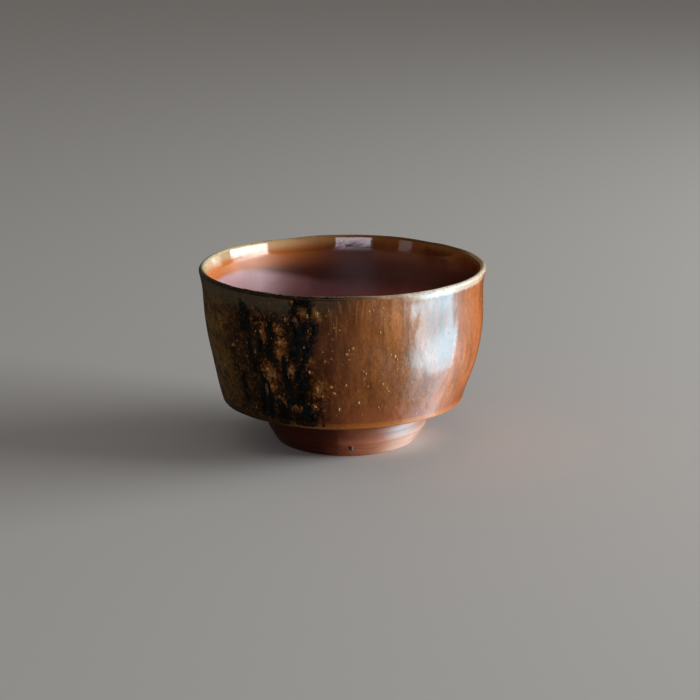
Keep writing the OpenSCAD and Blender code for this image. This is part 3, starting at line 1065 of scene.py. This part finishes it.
def mound(target, angle, height, radius, rise):
    """A small melted mound: a ball, flattened, roughened and pressed into what it lies on."""
    turn = math.radians(angle)
    away = Vector((math.sin(turn), -math.cos(turn), 0))
    _, point, normal, _ = target.ray_cast(away * 2 * RIM_R + Vector((0, 0, height)), -away)
    deselect_all()
    levels = 2 if radius < SMALL_MOUND else 3
    bpy.ops.mesh.primitive_ico_sphere_add(subdivisions=levels, radius=radius)
    piece = bpy.context.object
    edit_all(piece)
    # Each mound has its own width and length, by its angle
    width = 0.8 + 0.3 * math.sin(9 * angle)
    length = 1 + 0.3 * math.cos(7 * angle)
    bpy.ops.transform.resize(value=(width, length, rise))
    done(piece)
    displace(piece, size=0.7 * radius, strength=0.75 * radius, shift=angle * MM)
    facing = normal.to_track_quat("Z", "Y").to_matrix().to_4x4()
    piece.matrix_world = Matrix.Translation(point) @ facing
    return place(piece)


def mounds(target, places, rise, name):
    """Mounds at angles and heights, joined to one piece."""
    pieces = [mound(target, angle, height * MM, radius * MM, rise) for angle, height, radius in places]
    work_on(pieces[0])
    for piece in pieces:
        piece.select_set(True)
    bpy.ops.object.join()
    pieces[0].name = name
    return smooth(pieces[0])


def crystals(outer):
    """The larger crystals, then small grains thrown at random, thick in front and to the left."""
    chance = random.Random(11)
    places = list(CRYSTALS)
    while len(places) < len(CRYSTALS) + GRAINS:
        angle = chance.gauss(*GRAIN_ANGLE)
        places.append((angle, chance.uniform(*GRAIN_HEIGHT), chance.uniform(*GRAIN_SIZE)))
    return mounds(outer, places, CRYSTAL_RISE, "ash_crystal_grains")


def iron_spots(foot):
    return mounds(foot, IRON_SPOTS, SPOT_RISE, "iron_spot_grains")


# Foot

FOOT_R = 15.7 * MM
FOOT_LEAN = 31
NECK_LEAN = 4
FOOT_WALL = 3.3 * MM
FOOT_BEVEL = 0.4 * MM
CREASE_Z = 3.4 * MM
CREASE_ROUND = 0.5 * MM
COVE_W = 1.4 * MM
COVE_H = 1.5 * MM
RECESS = 3.6 * MM
RECESS_TAPER = 0.94
RECESS_ROUND = 1.1 * MM
NUB_R = 2.4 * MM
NUB_H = 0.5 * MM
NUB_STEPS = 14


def side_stretch(start, end, rings, depth, steps):
    """A straight side with the fine rings that the turner's tool leaves."""
    across = (end - start) / np.linalg.norm(end - start)
    across = np.array([across[1], -across[0]])
    points = []
    for i in range(1, steps + 1):
        u = i / steps
        ring = depth * math.sin(2 * math.pi * rings * u) * math.sin(math.pi * u)
        points.append(start + (end - start) * u + across * ring)
    return points


def foot_outline():
    """From the nub in the hollow, round the standing ring and up the creased side to the bowl."""
    recess_r = FOOT_R - FOOT_WALL
    recess_edge = np.array([RECESS_TAPER * recess_r - RECESS_ROUND, RECESS])
    points = []
    for i in range(NUB_STEPS + 1):
        u = i / NUB_STEPS
        points.append(np.array([NUB_R * u, RECESS - NUB_H * (1 + math.cos(math.pi * u)) / 2]))
    points += side_stretch(points[-1], recess_edge, rings=5, depth=0.06 * MM, steps=24)
    points += arc(recess_edge - (0, RECESS_ROUND), RECESS_ROUND, 90, 0, steps=10)
    ring_edge = np.array([recess_r, FOOT_BEVEL])
    points += side_stretch(points[-1], ring_edge, rings=2, depth=0.04 * MM, steps=12)
    points += arc(ring_edge + (FOOT_BEVEL, 0), FOOT_BEVEL, 180, 270, steps=6)
    points += arc((FOOT_R - FOOT_BEVEL, FOOT_BEVEL), FOOT_BEVEL, -90, -FOOT_LEAN, steps=8)
    crease_r = FOOT_R + (CREASE_Z - FOOT_BEVEL) * math.tan(math.radians(FOOT_LEAN))
    crease = np.array([crease_r, CREASE_Z])
    below = toward(90 - FOOT_LEAN, CREASE_ROUND)
    above = toward(90 - NECK_LEAN, CREASE_ROUND)
    points += side_stretch(points[-1], crease - below, rings=3, depth=0.03 * MM, steps=18)
    points += curve(points[-1], crease - below / 3, crease + above / 3, crease + above, steps=6)
    neck = np.array([FOOT_TOP_R - COVE_W, UNDERSIDE - COVE_H])
    points += side_stretch(points[-1], neck, rings=2, depth=0.03 * MM, steps=12)
    points += curve(
        neck, neck + toward(90 - NECK_LEAN, COVE_H / 2),
        (FOOT_TOP_R - COVE_W / 2, UNDERSIDE), (FOOT_TOP_R, UNDERSIDE), steps=10)
    points.append(np.array([0, UNDERSIDE]))
    return [point + (FOOT_X, 0) for point in points]


def turned_foot():
    foot = draw_section("turned_foot", foot_outline())
    turn_section(foot, centre=(FOOT_X, 0, 0), steps=PLAIN_TURN_STEPS)
    height = points_of(foot)[:, 2]
    weigh(foot, "side", ease(height, 0.2 * MM, MM) * ease(height, UNDERSIDE - 0.1 * MM, UNDERSIDE - MM))
    displace(foot, size=9 * MM, strength=0.25 * MM, group="side")
    return smooth(foot, 50)


# Studio

FLOOR_SIZE = 6
FLOOR_MID = (0, 1.5, 0)
LAMP_AWAY = 0.75
LAMP_AIM = Vector((0, 0, 20 * MM))


def studio_floor():
    deselect_all()
    bpy.ops.mesh.primitive_plane_add(size=FLOOR_SIZE, location=FLOOR_MID)
    floor = bpy.context.object
    floor.name = "studio_floor"
    place(floor)
    graph = Finish("pale floor")
    # Pale to the camera, and dark brown in the light that it throws back at the cup
    seen = graph.node("LightPath").outputs["Is Camera Ray"]
    colour = graph.mix(seen, linear(36, 30, 26), linear(205, 203, 200))
    graph.feed(graph.shader, "Base Color", colour)
    graph.feed(graph.shader, "Roughness", 0.8)
    graph.feed(graph.shader, "Specular IOR Level", 0.1)
    wear(floor, graph.material)
    floor.visible_glossy = False
    floor.visible_shadow = False


def area_lamp(name, turn, rise, size, strength, colour, lights=True, shines=True, roll=0):
    """A lamp at an angle round the cup and a rise above level, turned by roll about its own ray.

    Strength 1 lights what faces it at its own colour.
    """
    data = bpy.data.lights.new(name, "AREA")
    data.shape = "RECTANGLE"
    data.size, data.size_y = size
    data.energy = strength * (math.pi * LAMP_AWAY) ** 2
    data.color = colour
    lamp = bpy.data.objects.new(name, data)
    bpy.context.collection.objects.link(lamp)
    turn, rise = math.radians(turn), math.radians(rise)
    ray = Vector((math.sin(turn) * math.cos(rise), -math.cos(turn) * math.cos(rise), math.sin(rise)))
    lamp.location = LAMP_AIM + ray * LAMP_AWAY
    facing = ray.to_track_quat("Z", "Y").to_matrix() @ Matrix.Rotation(math.radians(roll), 3, "Z")
    lamp.rotation_euler = facing.to_euler()
    lamp.visible_diffuse = lights
    lamp.visible_glossy = shines


def lights():
    """A low bank on the right, its light off the floor, a lilac light in front and a dim card."""
    area_lamp("side bank", 92, 13.2, (0.58, 0.13), 0.8, (0.97, 0.99, 1.0), roll=-9)
    area_lamp("side bank, soft", 91, 16, (0.6, 0.3), 0.4, (0.97, 0.99, 1.0), shines=False)
    area_lamp("bank off the floor", 81, -19.6, (0.56, 0.31), 1.15, (0.36, 0.79, 1.0), lights=False)
    area_lamp("bank off the floor, low", 84, -36, (0.5, 0.2), 0.12, (0.5, 0.84, 1.0), lights=False)
    area_lamp("sheen off the floor", 122, -50, (0.6, 0.35), 0.26, (1.0, 0.92, 0.86), lights=False)
    area_lamp("light off the floor", 76, -30, (0.3, 0.2), 0.22, (1.0, 0.93, 0.88), shines=False)
    area_lamp("front light", -10, 15.1, (0.42, 0.03), 0.06, (0.88, 0.84, 1.0), roll=2)
    area_lamp("left card", -57, 11.2, (0.16, 0.04), 0.004, (1.0, 0.96, 0.94))
    world = bpy.data.worlds.new("studio")
    bpy.context.scene.world = world
    world.use_nodes = True
    graph = Graph(world.node_tree)
    # Soft light from all round, but darkness in the gloss
    mirrored = graph.node("LightPath").outputs["Is Glossy Ray"]
    colour = graph.mix(mirrored, (0.21, 0.2, 0.19, 1), (0.024, 0.019, 0.014, 1))
    background = world.node_tree.nodes["Background"]
    graph.feed(background, "Color", colour)
    graph.feed(background, "Strength", 1.0)


# Camera at the photograph's viewing angle, in its frame of 700 pixels
FRAME_PX = 700
FOCAL_PX = 1824.5
CAMERA_AWAY = 0.4
CAMERA_RISE = 15.43
CAMERA_ROLL = -0.315
AIM = Vector((0, 0, 19 * MM))
AIM_PX = (342.78, 351.17)
SENSOR = 36


def camera():
    data = bpy.data.cameras.new("camera")
    data.sensor_width = SENSOR
    data.lens = FOCAL_PX / FRAME_PX * SENSOR
    data.shift_x = (FRAME_PX / 2 - AIM_PX[0]) / FRAME_PX
    data.shift_y = (AIM_PX[1] - FRAME_PX / 2) / FRAME_PX
    data.clip_start = 0.01
    eye = bpy.data.objects.new("camera", data)
    bpy.context.collection.objects.link(eye)
    rise = math.radians(CAMERA_RISE)
    look = Vector((0, math.cos(rise), -math.sin(rise)))
    roll = Matrix.Rotation(math.radians(CAMERA_ROLL), 4, "Z")
    facing = look.to_track_quat("-Z", "Y").to_matrix().to_4x4()
    eye.matrix_world = Matrix.Translation(AIM - look * CAMERA_AWAY) @ facing @ roll
    bpy.context.scene.camera = eye


camera()
round_the_cup_group()
streaks_group()
specks_group()
mottle_group()

skins = glaze_skin()
clay = clay_body()
foot = turned_foot()
sheet = run_sheet(skins["outer_glaze"])
grains = crystals(skins["outer_glaze"])
spots = iron_spots(foot)

SKIN_MATERIALS = {
    "inner_glaze": inner_material, "outer_glaze": outer_material,
    "lip_glaze": lip_material, "glaze_hem": hem_material,
}
for part, material in SKIN_MATERIALS.items():
    finish_piece(skins[part], part, material())
finish_piece(foot, "foot_ring", foot_material())
finish_piece(sheet, "ash_runs", run_material())
finish_piece(grains, "ash_crystals", crystal_material())
finish_piece(spots, "iron_spots", iron_material())
finish_piece(clay, "clay_bowl", clay_material())

studio_floor()
lights()

bpy.context.scene.view_settings.view_transform = "Standard"
